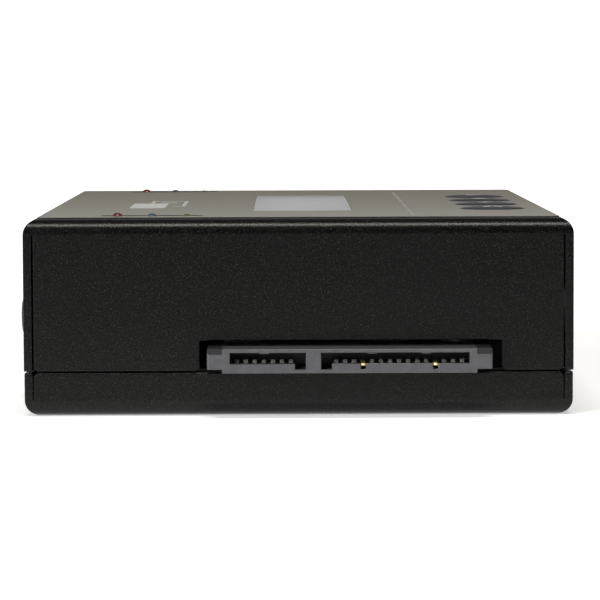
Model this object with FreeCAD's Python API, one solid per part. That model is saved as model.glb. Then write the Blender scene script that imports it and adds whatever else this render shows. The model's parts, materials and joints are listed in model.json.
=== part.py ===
import FreeCAD, Part
import math
import os

# Standalone duplicator for two SATA drives. A folded sheet steel cover stands on a shallow folded tray. A
# drive receptacle looks out of each end, the display, keys and lamps are on top, and the supply inlet and the
# power button are at one long side.
# Frame: millimetres, origin at the centre of the underside, +X towards the keys, +Y from the source end to
# the target end, +Z up.

Vector = FreeCAD.Vector

# Folded sheet enclosure
cover_width = 78.0
cover_length = 108.0
cover_top = 28.0
sheet = 1.2
cover_inner_bend = 1.0
tray_inset = 0.08
tray_inner_bend = 1.1
tray_rim = 6.2
shell_gap = 0.2
cover_seam = 0.2
tray_seam = 0.08
end_flange_corner = 0.8
side_flange_corner = 0.4
port_corner = 0.9

# Printed film on top
film = 0.15
film_margin_x = 1.8
film_margin_y = 2.6
film_corner = 0.8

# Circuit boards and what holds them
board = 1.6
board_edge_gap = 0.45
board_end_gap = 1.2
spacer_height = 3.7
spacer_flats = 5.5
case_screw_inset_x = 6.0
case_screw_inset_y = 7.0
case_screw_radius = 1.5
case_screw_length = 9.5
case_screw_head_radius = 2.6
case_screw_recess = 0.1
screw_clearance = 0.1
thread_gap = 0.05
thread_spare = 1.0
inlet_notch = 0.8

# Board to board connector
header_x = 20.0
header_pitch = 2.54
header_rows = 2
header_columns = 5
header_base = 2.54
header_pin = 0.64
header_pin_length = 6.0
socket_height = 8.5
socket_hole = 0.9
socket_hole_depth = 6.5

# Drive receptacle, looking at its face
port_x = 7.14
port_protrusion = 4.6
port_depth = 12.0
port_body_width = 35.85
port_body_height = 3.42
port_ear_width = 2.12
port_ear_low = 0.55
port_ear_high = 3.45
port_ear_chamfer = 0.8
port_ear_side_chamfer = 0.25
port_edge_chamfer = 0.12
port_cover_gap_x = 1.37
port_cover_gap_top = 0.8
port_cover_shift = 0.24
contact_pitch = 1.27
signal_contacts = 7
power_contacts = 15
contact_from_blade_end = 0.82
contact_from_blade_key = 1.97
blade_gap = 2.41
blade_clearance = 0.12
slot_floor = 1.35
slot_height = 1.53
slot_depth = 6.5
key_leg_width = 1.5
key_leg_depth = 0.85
rib_width = 1.3
rib_height = 0.15
rib_x = (-12.0, 3.15, 10.75)
contact_width = 0.6
contact_thickness = 0.2
contact_groove_gap = 0.06
contact_groove_depth = 0.8
contact_setback = 1.2
contact_hump_length = 0.9
contact_rise = 0.45
contact_tip_drop = 0.15
first_mate_setback = 0.2
first_mate_contacts = (4, 12)

# Display
display_x = 0.7
display_y = -2.25
window_width = 14.5
window_length = 57.0
window_gap = 0.15
window_lip = 1.5
window_lip_height = 1.2
display_border_x = 4.75
display_border_y = 4.0
display_frame_wall = 0.5
display_view_margin = 0.6
display_glass_height = 2.4

# Keys
key_edge = 9.65
key_middle_y = -3.0
key_pitch = 15.0
key_names = ("cancel", "down", "up", "enter")
key_radius = 4.7
key_gap = 0.2
key_proud = 0.35
key_plate_side = 11.4
key_plate_height = 0.8
key_stem_side = 5.0
key_travel = 0.5
plunger_side = 3.4
plunger_rise = 1.6
plunger_sunk = 0.9
plunger_gap = 0.25
switch_size = 6.0
switch_height = 3.4

# Indicator lamps
lamp_pitch = 5.0
lamp_edge_x = 13.0
lamp_edge_y = 8.1
lamp_radius = 0.95
lamp_height = 5.0
lamp_proud = {"red": 0.45, "blue": 0.35, "green": 0.25}
lamp_slot_gap = 0.35
lamp_slot_end = 1.5
lead_side = 0.45
lead_spacing = 1.27

# Power button and its latching switch
button_y = -28.0
button_height = 5.9
button_radius = 2.67
button_gap = 0.28
button_proud = 2.3
button_edge = 0.5
button_length = 4.7
button_travel = 1.8
button_end_gap = 0.3
shaft_side = 2.6
shaft_socket = 3.0
shaft_sunk = 1.8
power_switch_width = 8.5
power_switch_height = 9.5
power_switch_length = 9.5
shaft_hole_gap = 0.3

# Supply inlet
inlet_y = 16.0
inlet_width = 9.0
inlet_height = 11.0
inlet_length = 14.0
inlet_recess = 0.2
inlet_wall_gap = 0.3
inlet_axis_height = 6.5
inlet_bore_radius = 3.15
inlet_bore_depth = 9.5
inlet_pin_radius = 1.0
inlet_pin_setback = 0.8
inlet_pin_root = 2.0

# Parts on the main board: x, y, width, length, height
controller_size = (2.0, -4.0, 14.0, 14.0, 1.4)
memory_size = (2.0, 21.0, 10.2, 18.4, 1.2)
flash_size = (-14.0, -22.0, 5.3, 5.3, 1.8)
crystal_size = (12.0, -24.0, 4.7, 11.0, 3.5)
inductor_sizes = ((-17.0, 11.0, 7.0, 7.0, 4.0), (-17.0, 22.0, 7.0, 7.0, 4.0))
regulator_sizes = ((-28.0, -6.0, 6.5, 6.1, 2.3), (-28.0, 3.0, 6.5, 6.1, 2.3))
capacitor_place = (-17.0, -6.0)
capacitor_radius = 3.15
capacitor_height = 7.7
capacitor_base = 0.8
capacitor_base_side = 6.6
chip_lead_pitch = 2.0
chip_lead_reach = 0.8
chip_lead_width = 0.35
chip_lead_height = 0.6

# Levels and edges that follow from the sizes above
cover_low = tray_rim + shell_gap
half_width = cover_width / 2
half_length = cover_length / 2
tray_half_width = half_width - tray_inset
tray_half_length = half_length - tray_inset
ceiling = cover_top - sheet
film_top = cover_top + film
main_low = sheet + spacer_height
main_top = main_low + board
panel_low = main_top + header_base + socket_height
panel_top = panel_low + board
window_lip_low = ceiling - window_lip_height
port_face = half_length + port_protrusion
port_half_width = port_body_width / 2 + port_ear_width
eps = 0.01


def box(x, y, z):
    """Block between a low and a high value on each axis."""
    return Part.makeBox(x[1] - x[0], y[1] - y[0], z[1] - z[0], Vector(x[0], y[0], z[0]))


def pad(x, y, width, length, z):
    """Block centred on x, y between two heights."""
    return box((x - width / 2, x + width / 2), (y - length / 2, y + length / 2), z)


def rod(x, y, radius, z):
    """Upright cylinder at x, y between two heights."""
    return Part.makeCylinder(radius, z[1] - z[0], Vector(x, y, z[0]))


def rod_x(y, z, radius, x):
    """Cylinder along X at y, z between two x values."""
    return Part.makeCylinder(radius, x[1] - x[0], Vector(x[0], y, z), Vector(1, 0, 0))


def hex_post(x, y, flats, z):
    """Upright hexagonal bar."""
    corner = flats / math.sqrt(3)
    ring = [Vector(x + corner * math.cos(math.radians(a)), y + corner * math.sin(math.radians(a)), z[0])
            for a in range(0, 361, 60)]
    return Part.Face(Part.makePolygon(ring)).extrude(Vector(0, 0, z[1] - z[0]))


def spun_x(profile, y, z):
    """Solid of revolution about the line along X at y, z from (x, radius) points."""
    points = [Vector(x, y + r, z) for x, r in profile]
    face = Part.Face(Part.makePolygon(points + points[:1]))
    return face.revolve(Vector(0, y, z), Vector(1, 0, 0), 360)


def spun(profile, x, y):
    """Solid of revolution about the upright line at x, y from (radius, height) points."""
    points = [Vector(x + r, y, z) for r, z in profile]
    face = Part.Face(Part.makePolygon(points + points[:1]))
    return face.revolve(Vector(x, y, 0), Vector(0, 0, 1), 360)


def join(shapes):
    """One solid from touching shapes."""
    return shapes[0].multiFuse(shapes[1:]).removeSplitter()


def rounded(shape, radius, wanted):
    """Shape with the edges that pass the test filleted."""
    return shape.makeFillet(radius, [edge for edge in shape.Edges if wanted(edge.BoundBox)])


def chamfered(shape, size, wanted):
    """Shape with the edges that pass the test chamfered."""
    return shape.makeChamfer(size, [edge for edge in shape.Edges if wanted(edge.BoundBox)])


def upright(bounds):
    """True for an edge along Z."""
    return bounds.ZLength > eps and bounds.XLength < eps and bounds.YLength < eps


def near(value, target):
    """True when two lengths agree."""
    return abs(value - target) < eps


case_screw_x = half_width - case_screw_inset_x
case_screw_y = half_length - case_screw_inset_y
case_screw_places = [(sx * case_screw_x, sy * case_screw_y) for sx in (-1, 1) for sy in (-1, 1)]
key_places = [key_middle_y + (i - (len(key_names) - 1) / 2) * key_pitch for i in range(len(key_names))]
key_x = half_width - key_edge
lamp_x = {colour: lamp_edge_x - half_width + i * lamp_pitch for i, colour in enumerate(lamp_proud)}
lamp_rows_y = (lamp_edge_y - half_length, half_length - lamp_edge_y)


def folded_pan(half_x, half_y, face, open_side, inner_bend, seam):
    """Five-sided pan folded from sheet: closed at height face, open at open_side, a seam at each corner."""
    inward = math.copysign(1, open_side - face)
    solids = []
    for depth, radius in ((0, inner_bend + sheet), (sheet, inner_bend)):
        level = face + inward * depth
        far = open_side + inward * depth
        z = (min(level, far), max(level, far))
        block = pad(0, 0, 2 * (half_x - depth), 2 * (half_y - depth), z)
        solids.append(rounded(block, radius, lambda b: near(b.ZMin, level) and near(b.ZMax, level)))
    pan = solids[0].cut(solids[1])
    bend_end = face + inward * (inner_bend + sheet)
    z = (min(bend_end, open_side + inward), max(bend_end, open_side + inward))
    seam_x = (half_x - sheet - seam, half_x - sheet)
    for sx in (-1, 1):
        for sy in (-1, 1):
            x = sorted(sx * v for v in seam_x)
            y = sorted(sy * v for v in (half_y - sheet, half_y + 1))
            pan = pan.cut(box(x, y, z))

    def on_rim(b):
        return near(b.ZMin, open_side) and near(b.ZMax, open_side)

    def end_corner(b):
        return on_rim(b) and near(b.YLength, sheet) and near(max(abs(b.XMin), abs(b.XMax)), seam_x[0])

    def side_corner(b):
        return on_rim(b) and near(b.XLength, sheet) and near(max(abs(b.YMin), abs(b.YMax)), half_y)

    return rounded(rounded(pan, end_flange_corner, end_corner), side_flange_corner, side_corner)


def lamp_slot(y, z):
    """Round-ended slot round a row of lamps."""
    radius = lamp_radius + lamp_slot_gap
    beyond = lamp_slot_end - lamp_slot_gap
    ends = (min(lamp_x.values()) - beyond, max(lamp_x.values()) + beyond)
    bar = box(ends, (y - radius, y + radius), z)
    return join([bar] + [rod(x, y, radius, z) for x in ends])


def window_pad(margin, z):
    """Block round the display's window, wider by margin on every side."""
    return pad(display_x, display_y, window_width + 2 * margin, window_length + 2 * margin, z)


def top_cover():
    """Folded cover with the openings for ports, display, keys, lamps, button and inlet."""
    cover = folded_pan(half_width, half_length, cover_top, cover_low, cover_inner_bend, cover_seam)
    reach = port_half_width + port_cover_gap_x
    port_edges = (port_x + port_cover_shift - reach, port_x + port_cover_shift + reach)
    port_z = (cover_low - 1, main_top + port_ear_high + port_cover_gap_top)
    for side in (-1, 1):
        y = sorted(side * v for v in (half_length - sheet - 1, half_length + 1))
        cover = cover.cut(box(port_edges, y, port_z))

    def port_foot(b):
        at_edge = near(b.XMin, port_edges[0]) or near(b.XMin, port_edges[1])
        return at_edge and near(b.YLength, sheet) and near(b.ZMax, cover_low)

    cover = rounded(cover, port_corner, port_foot)
    through = (ceiling - 1, cover_top + 1)
    openings = [window_pad(window_gap, through)]
    openings += [rod(key_x, y, key_radius + key_gap, through) for y in key_places]
    openings += [lamp_slot(y, through) for y in lamp_rows_y]
    wall = (-half_width - 1, -half_width + sheet + 1)
    openings.append(rod_x(button_y, main_top + button_height, button_radius + button_gap, wall))
    inlet_z = (cover_low - 1, main_top + inlet_height + inlet_wall_gap)
    half_inlet = inlet_width / 2 + inlet_wall_gap
    openings.append(box(wall, (inlet_y - half_inlet, inlet_y + half_inlet), inlet_z))
    return cover.cut(openings)


def base_tray():
    """Folded tray with countersunk holes for the case screws."""
    tray = folded_pan(tray_half_width, tray_half_length, 0, tray_rim, tray_inner_bend, tray_seam)
    shank = case_screw_radius + screw_clearance
    mouth = case_screw_head_radius + case_screw_recess + screw_clearance
    profile = [(0, -1), (mouth + 1, -1), (shank, mouth - shank), (shank, sheet + 1), (0, sheet + 1)]
    return tray.cut([spun(profile, x, y) for x, y in case_screw_places])


def case_screws():
    """Four countersunk screws through tray, lower spacers and main board into the middle spacers."""
    low = case_screw_recess
    neck = low + case_screw_head_radius - case_screw_radius
    profile = [(0, low), (case_screw_head_radius, low), (case_screw_radius, neck)]
    profile += [(case_screw_radius, low + case_screw_length), (0, low + case_screw_length)]
    return [spun(profile, x, y) for x, y in case_screw_places]


def posts(z):
    """Hexagonal spacers at the case screws between two heights."""
    return [hex_post(x, y, spacer_flats, z) for x, y in case_screw_places]


def screw_bores(gap, z):
    """Round bores for the case screws between two heights, wider than the screw by gap."""
    return [rod(x, y, case_screw_radius + gap, z) for x, y in case_screw_places]


def bored_posts(z, gap, bore_top):
    """Spacers between two heights, bored from below for the case screws."""
    bores = screw_bores(gap, (z[0], bore_top))
    return [post.cut(bore) for post, bore in zip(posts(z), bores)]


def circuit_board(low):
    """Board a running gap inside the enclosure's walls."""
    width = 2 * (tray_half_width - sheet - board_edge_gap)
    length = 2 * (tray_half_length - sheet - board_end_gap)
    return pad(0, 0, width, length, (low, low + board))


def main_board():
    """Lower board with a hole for each case screw."""
    return circuit_board(main_low).cut(screw_bores(screw_clearance, (main_low, main_top)))


def panel_board():
    """Upper board for display, keys and lamps, cut away over the supply inlet."""
    inlet_end = -half_width + inlet_recess + inlet_length + inlet_notch
    half_inlet = inlet_width / 2 + inlet_notch
    y = (inlet_y - half_inlet, inlet_y + half_inlet)
    return circuit_board(panel_low).cut(box((-half_width, inlet_end), y, (panel_low, panel_top)))


def connector_pad(z):
    """Plan outline of the board to board connector between two heights."""
    return pad(header_x, 0, header_rows * header_pitch, header_columns * header_pitch, z)


def header_places():
    """Pin places of the board to board connector."""
    xs = [header_x + (i - (header_rows - 1) / 2) * header_pitch for i in range(header_rows)]
    ys = [(i - (header_columns - 1) / 2) * header_pitch for i in range(header_columns)]
    return [(x, y) for x in xs for y in ys]


def header_pins():
    """Square pins of the header on the main board."""
    top = main_top + header_base + header_pin_length
    return [pad(x, y, header_pin, header_pin, (main_top, top)) for x, y in header_places()]


def board_header():
    """Plastic base of the header."""
    return connector_pad((main_top, main_top + header_base)).cut(header_pins())


def board_socket():
    """Socket under the panel board that takes the header's pins."""
    low = main_top + header_base
    z = (low, low + socket_hole_depth)
    holes = [pad(x, y, socket_hole, socket_hole, z) for x, y in header_places()]
    return connector_pad((low, panel_low)).cut(holes)


def contact_places():
    """Numbered contact places of both rows of a receptacle and the ends of its slots, about its centre."""
    ends = contact_from_blade_end + contact_from_blade_key
    signal_blade = (signal_contacts - 1) * contact_pitch + ends
    power_blade = (power_contacts - 1) * contact_pitch + ends
    half_span = (signal_blade + blade_gap + power_blade) / 2
    power_left = half_span - power_blade
    first_signal = contact_from_blade_end - half_span
    first_power = power_left + contact_from_blade_key
    signal = [(i + 1, first_signal + i * contact_pitch) for i in range(signal_contacts)]
    power = [(i + 1, first_power + i * contact_pitch) for i in range(power_contacts)]
    signal_slot = (-half_span - blade_clearance, signal_blade - half_span + blade_clearance)
    power_slot = (power_left - blade_clearance, half_span + blade_clearance)
    return signal, power, signal_slot, power_slot


def receptacle():
    """Receptacle housing and contacts, face at y = 0, foot at z = 0, centred on x = 0, looking along -Y."""
    signal, power, signal_slot, power_slot = contact_places()
    half_body = port_body_width / 2
    body = box((-half_body, half_body), (0, port_depth), (0, port_body_height))
    body = chamfered(body, port_edge_chamfer, lambda b: near(b.YMax, 0) and near(b.ZMin, port_body_height))
    shapes = [body]
    for side in (-1, 1):
        outer = side * port_half_width
        ear = box(sorted((side * half_body, outer)), (0, port_depth), (port_ear_low, port_ear_high))

        ear = chamfered(ear, port_ear_chamfer, lambda b: near(b.YMax, 0) and near(b.ZMin, port_ear_high))
        shapes.append(chamfered(ear, port_ear_side_chamfer, lambda b: near(b.YMax, 0) and near(b.XMin, outer)
                                and near(b.XMax, outer)))
    housing = join(shapes)
    slot_z = (slot_floor, slot_floor + slot_height)
    leg_z = (slot_floor - key_leg_depth, slot_floor)
    slot_y = (-1, slot_depth)
    cuts = [box(signal_slot, slot_y, slot_z), box(power_slot, slot_y, slot_z)]
    cuts.append(box((signal_slot[1] - key_leg_width, signal_slot[1]), slot_y, leg_z))
    cuts.append(box((power_slot[0], power_slot[0] + key_leg_width), slot_y, leg_z))
    contacts = []
    for row, early in ((signal, ()), (power, first_mate_contacts)):
        for number, x in row:
            first = number in early
            tip = first_mate_setback if first else contact_setback
            groove_start = -1 if first else tip - contact_groove_gap
            half = contact_width / 2 + contact_groove_gap
            groove_z = (slot_floor - contact_groove_depth, slot_floor)
            cuts.append(box((x - half, x + half), (groove_start, port_depth + 1), groove_z))
            contacts.append(contact_strip(x, tip))
    housing = housing.cut(cuts)
    ceiling_z = slot_floor + slot_height
    rib_z = (ceiling_z - rib_height, ceiling_z)
    rib_y = (port_edge_chamfer, slot_depth)
    ribs = [box((x - rib_width / 2, x + rib_width / 2), rib_y, rib_z) for x in rib_x]
    return join([housing] + ribs), contacts


def contact_strip(x, tip):
    """Sprung contact strip: a hump near its tip, a run on its groove's floor and a tail down to the board."""
    t = contact_thickness
    crest = slot_floor + contact_rise
    dip = slot_floor - contact_tip_drop
    run = slot_floor - contact_groove_depth + t
    middle = tip + contact_hump_length
    foot = middle + 2 * contact_hump_length
    knee = port_depth + t
    upper = [(tip, dip), (middle, crest), (foot, run), (knee + t, run), (knee + t, 0)]
    lower = [(knee, 0), (knee, run - t), (foot - t / 2, run - t), (middle, crest - 1.5 * t)]
    lower.append((tip + t / 2, dip - t))
    points = [Vector(x - contact_width / 2, y, z) for y, z in upper + lower]
    return Part.Face(Part.makePolygon(points + points[:1])).extrude(Vector(contact_width, 0, 0))


def placed_port(solids, target):
    """Copies of receptacle solids at the source end, or turned round at the target end."""
    placed = []
    for solid in solids:
        copy = solid.copy()
        if target:
            copy.rotate(Vector(0, 0, 0), Vector(0, 0, 1), 180)
        copy.translate(Vector(port_x, port_face if target else -port_face, main_top))
        placed.append(copy)
    return placed


def panel_film():
    """Printed film on the cover, open at the window, keys and lamps."""
    width = cover_width - 2 * film_margin_x
    length = cover_length - 2 * film_margin_y
    blank = rounded(pad(0, 0, width, length, (cover_top, film_top)), film_corner, upright)
    z = (cover_top - 1, film_top + 1)
    cuts = [window_pad(window_gap, z)]
    cuts += [rod(key_x, y, key_radius + key_gap, z) for y in key_places]
    cuts += [lamp_slot(y, z) for y in lamp_rows_y]
    return blank.cut(cuts)


def display_window():
    """Clear window: a lip under the cover and a block that fills the opening up to the film's top."""
    return join([window_pad(window_lip, (window_lip_low, ceiling)), window_pad(0, (ceiling, film_top))])


def frame_pad(inset, z):
    """Block with the plan outline of the display's frame, smaller by inset on every side."""
    width = window_width + 2 * (display_border_x - inset)
    length = window_length + 2 * (display_border_y - inset)
    return pad(display_x, display_y, width, length, z)


def display_frame():
    """Metal frame round the display's glass, standing on the panel board."""
    hollow = frame_pad(display_frame_wall, (panel_top, window_lip_low - display_frame_wall))
    view = window_pad(display_view_margin, (panel_top, window_lip_low))
    return frame_pad(0, (panel_top, window_lip_low)).cut([hollow, view])


def display_layers():
    """Glass cell and the light guide under it, filling the frame."""
    top = window_lip_low - display_frame_wall
    middle = top - display_glass_height
    return frame_pad(display_frame_wall, (middle, top)), frame_pad(display_frame_wall, (panel_top, middle))


def key_cap(y):
    """Round key on a square plate that stops it under the cover, with a square stem to the switch."""
    foot = panel_top + switch_height + plunger_rise
    plate_low = ceiling - key_plate_height
    plate = pad(key_x, y, key_plate_side, key_plate_side, (plate_low, ceiling))
    stem = pad(key_x, y, key_stem_side, key_stem_side, (foot, plate_low))
    return join([plate, stem, rod(key_x, y, key_radius, (ceiling, film_top + key_proud))])


def key_plunger(y):
    """Square plunger of a key's switch."""
    top = panel_top + switch_height + plunger_rise
    low = panel_top + switch_height - plunger_sunk
    return pad(key_x, y, plunger_side, plunger_side, (low, top))


def key_switches():
    """Switch bodies under the keys, each with a square well for its plunger."""
    top = panel_top + switch_height
    well = plunger_side + 2 * plunger_gap
    low = top - plunger_sunk - key_travel - plunger_gap
    bodies = [pad(key_x, y, switch_size, switch_size, (panel_top, top)) for y in key_places]
    return [body.cut(pad(key_x, y, well, well, (low, top))) for body, y in zip(bodies, key_places)]


def lamps(colour):
    """Lamp bodies of one colour, one at each end of the panel."""
    top = film_top + lamp_proud[colour]
    return [rod(lamp_x[colour], y, lamp_radius, (top - lamp_height, top)) for y in lamp_rows_y]


def lamp_leads():
    """Two square leads from each lamp down to the panel board."""
    solids = []
    for colour, x in lamp_x.items():
        low = film_top + lamp_proud[colour] - lamp_height
        for y in lamp_rows_y:
            for side in (-1, 1):
                solids.append(pad(x + side * lead_spacing / 2, y, lead_side, lead_side, (panel_top, low)))
    return solids


def power_switch():
    """Latching switch body behind the power button, with a square hole for its shaft."""
    front = -half_width - button_proud + button_length + button_travel + button_end_gap
    z = main_top + button_height
    body = pad(front + power_switch_length / 2, button_y, power_switch_length, power_switch_width,
               (main_top, main_top + power_switch_height))
    half = shaft_side / 2 + shaft_hole_gap
    depth = shaft_socket + button_end_gap
    return body.cut(box((front, front + depth), (button_y - half, button_y + half), (z - half, z + half)))


def power_shaft():
    """Square shaft from the button into the switch."""
    start = -half_width - button_proud + button_length - shaft_sunk
    end = -half_width - button_proud + button_length + button_end_gap + shaft_socket
    z = main_top + button_height
    half = shaft_side / 2
    return box((start, end), (button_y - half, button_y + half), (z - half, z + half))


def power_button():
    """Round button that stands out of the side, rounded at its rim and socketed for the shaft."""
    outer = -half_width - button_proud
    inner = outer + button_length
    rim = button_radius - button_edge
    profile = [(outer, 0), (outer, rim), (outer + button_edge, button_radius)]
    profile += [(inner, button_radius), (inner, 0)]
    return spun_x(profile, button_y, main_top + button_height).cut(power_shaft())


def power_inlet():
    """Housing of the supply inlet with its round socket."""
    front = -half_width + inlet_recess
    body = box((front, front + inlet_length), (inlet_y - inlet_width / 2, inlet_y + inlet_width / 2),
               (main_top, main_top + inlet_height))
    z = main_top + inlet_axis_height
    socket = rod_x(inlet_y, z, inlet_bore_radius, (front - 1, front + inlet_bore_depth))
    return body.cut([socket, inlet_pin()])


def inlet_pin():
    """Centre pin of the supply inlet."""
    front = -half_width + inlet_recess
    x = (front + inlet_pin_setback, front + inlet_bore_depth + inlet_pin_root)
    return rod_x(inlet_y, main_top + inlet_axis_height, inlet_pin_radius, x)


def component(size):
    """Plain block on the main board from its place and size."""
    x, y, width, length, height = size
    return pad(x, y, width, length, (main_top, main_top + height))


def leaded_chip(size, sides):
    """Chip body with a row of flat leads along each pair of sides named in sides."""
    x, y, width, length, height = size
    low, high = main_top, main_top + height
    leads = []
    z = (low, low + chip_lead_height)
    reach = chip_lead_reach
    if "x" in sides:
        count = int(length / chip_lead_pitch) - 1
        for i in range(count):
            row = y + (i - (count - 1) / 2) * chip_lead_pitch
            for side in (-1, 1):
                leads.append(pad(x + side * (width + reach) / 2, row, reach, chip_lead_width, z))
    if "y" in sides:
        count = int(width / chip_lead_pitch) - 1
        for i in range(count):
            row = x + (i - (count - 1) / 2) * chip_lead_pitch
            for side in (-1, 1):
                leads.append(pad(row, y + side * (length + reach) / 2, chip_lead_width, reach, z))
    return join([pad(x, y, width, length, (low, high))] + leads)


def storage_capacitor():
    """Electrolytic can on a square base."""
    x, y = capacitor_place
    base = pad(x, y, capacitor_base_side, capacitor_base_side, (main_top, main_top + capacitor_base))
    can = rod(x, y, capacitor_radius, (main_top + capacitor_base, main_top + capacitor_height))
    return join([base, can])


def write(name, shapes):
    """Write one node from a shape or a list of separate shapes."""
    shape = Part.makeCompound(shapes) if isinstance(shapes, list) else shapes
    shape.exportStep(os.path.join("parts", name + ".step"))


os.makedirs("parts", exist_ok=True)
port_housing, port_contacts = receptacle()
display_glass, display_backlight = display_layers()
write("top_cover", top_cover())
write("base_tray", base_tray())
write("case_screws", case_screws())
screw_end = case_screw_recess + case_screw_length
write("lower_spacers", bored_posts((sheet, main_low), screw_clearance, main_low))
write("middle_spacers", bored_posts((main_top, panel_low), thread_gap, screw_end + thread_spare))
write("cover_standoffs", posts((panel_top, ceiling)))
write("main_board", main_board())
write("panel_board", panel_board())
write("header_pins", header_pins())
write("board_header", board_header())
write("board_socket", board_socket())
write("source_receptacle", placed_port([port_housing], False)[0])
write("source_contacts", placed_port(port_contacts, False))
write("target_receptacle", placed_port([port_housing], True)[0])
write("target_contacts", placed_port(port_contacts, True))
write("panel_film", panel_film())
write("display_window", display_window())
write("display_frame", display_frame())
write("display_glass", display_glass)
write("display_backlight", display_backlight)
write("key_switches", key_switches())
for key, place in zip(key_names, key_places):
    write(key + "_key_cap", key_cap(place))
    write(key + "_key_plunger", key_plunger(place))
for lamp_colour in lamp_proud:
    write(lamp_colour + "_lamps", lamps(lamp_colour))
write("lamp_leads", lamp_leads())
write("power_switch", power_switch())
write("power_switch_shaft", power_shaft())
write("power_button_cap", power_button())
write("power_inlet", power_inlet())
write("power_inlet_pin", inlet_pin())
write("controller_chip", leaded_chip(controller_size, "xy"))
write("memory_chip", leaded_chip(memory_size, "y"))
write("flash_chip", leaded_chip(flash_size, "x"))
write("crystal", component(crystal_size))
write("power_inductors", [component(size) for size in inductor_sizes])
write("regulators", [component(size) for size in regulator_sizes])
write("storage_capacitor", storage_capacitor())
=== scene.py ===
# Looks of the drive duplicator: the finish of every CAD node, rounded and turned forms in place of plain
# ones, the signs on the keys and the film, and the white studio round it. Lengths are metres.

import json
import math

import bmesh
import bpy
from mathutils import Matrix, Vector


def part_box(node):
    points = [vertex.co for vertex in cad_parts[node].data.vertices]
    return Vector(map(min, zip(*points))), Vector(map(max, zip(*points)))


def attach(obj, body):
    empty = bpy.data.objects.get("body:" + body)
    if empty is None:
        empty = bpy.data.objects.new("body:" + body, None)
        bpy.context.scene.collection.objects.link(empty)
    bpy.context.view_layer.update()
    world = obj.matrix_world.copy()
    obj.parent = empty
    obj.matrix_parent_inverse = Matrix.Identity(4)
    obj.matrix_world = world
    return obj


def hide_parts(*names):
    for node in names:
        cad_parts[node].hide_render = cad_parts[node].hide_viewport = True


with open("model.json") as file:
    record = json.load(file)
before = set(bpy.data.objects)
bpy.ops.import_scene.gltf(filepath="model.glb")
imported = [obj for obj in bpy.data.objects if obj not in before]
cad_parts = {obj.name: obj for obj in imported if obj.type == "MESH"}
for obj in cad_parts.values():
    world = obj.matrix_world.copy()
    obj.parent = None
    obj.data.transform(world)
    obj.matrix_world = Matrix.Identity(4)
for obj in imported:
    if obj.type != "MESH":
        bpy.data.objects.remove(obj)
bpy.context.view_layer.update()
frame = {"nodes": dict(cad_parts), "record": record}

MM = 0.001
NODES = frame["nodes"]
SLOT_OF = {part["node"]: part["material_slot"] for part in frame["record"]["subparts"]}
BODIES = frame["record"]["behaviour"]["bodies"]
BODY_OF = {node: body for body, nodes in BODIES.items() for node in nodes}
PORT_FACE = -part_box("source_receptacle")[0].y
FILM_LOW, FILM_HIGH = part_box("panel_film")
# tolerances: for a point to count as on a face, and for two points to count as one
NEAR = 0.01 * MM
WELD = 0.002 * MM


# ---------------------------------------------------------------- materials

def blank_material(name):
    """New node material with its tree, principled shader and output."""
    made = bpy.data.materials.new(name)
    made.use_nodes = True
    tree = made.node_tree
    tree.nodes.clear()
    out = tree.nodes.new("ShaderNodeOutputMaterial")
    shader = tree.nodes.new("ShaderNodeBsdfPrincipled")
    tree.links.new(shader.outputs["BSDF"], out.inputs["Surface"])
    return made, tree, shader


def noise(tree, scale, detail=2.0):
    """Noise over the object's own place in metres; scale is features per metre."""
    place = tree.nodes.new("ShaderNodeTexCoord")
    made = tree.nodes.new("ShaderNodeTexNoise")
    made.inputs["Scale"].default_value = scale
    made.inputs["Detail"].default_value = detail
    tree.links.new(place.outputs["Object"], made.inputs["Vector"])
    return made


def coordinate(tree, axis, kind="Object"):
    """One coordinate of the place on an object, or of the direction on the world."""
    place = tree.nodes.new("ShaderNodeTexCoord")
    split = tree.nodes.new("ShaderNodeSeparateXYZ")
    tree.links.new(place.outputs[kind], split.inputs["Vector"])
    return split.outputs[axis]


def calculated(tree, operation, *terms):
    """Result of a maths node over the values of other nodes."""
    made = tree.nodes.new("ShaderNodeMath")
    made.operation = operation
    for socket, term in zip(made.inputs, terms):
        tree.links.new(term, socket)
    return made.outputs["Value"]


def ramp(tree, source, stops):
    """Colour ramp over a value; stops are (position, colour)."""
    made = tree.nodes.new("ShaderNodeValToRGB")
    elements = made.color_ramp.elements
    while len(elements) < len(stops):
        elements.new(0.5)
    for element, (position, colour) in zip(elements, stops):
        element.position = position
        element.color = (*colour, 1.0)
    tree.links.new(source, made.inputs["Fac"])
    return made.outputs["Color"]


def span(tree, source, low, high, source_low=0.3, source_high=0.7, kind="LINEAR"):
    """Value mapped from its own range, the usual one of a noise unless given, to low..high."""
    made = tree.nodes.new("ShaderNodeMapRange")
    made.interpolation_type = kind
    ends = {"From Min": source_low, "From Max": source_high, "To Min": low, "To Max": high}
    for name, value in ends.items():
        made.inputs[name].default_value = value
    tree.links.new(source, made.inputs["Value"])
    return made.outputs["Result"]


def bump(tree, height, distance, strength=1.0, under=None):
    """Bump from a height value; distance is metres."""
    made = tree.nodes.new("ShaderNodeBump")
    made.inputs["Distance"].default_value = distance
    made.inputs["Strength"].default_value = strength
    tree.links.new(height, made.inputs["Height"])
    if under is not None:
        tree.links.new(under, made.inputs["Normal"])
    return made.outputs["Normal"]


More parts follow.
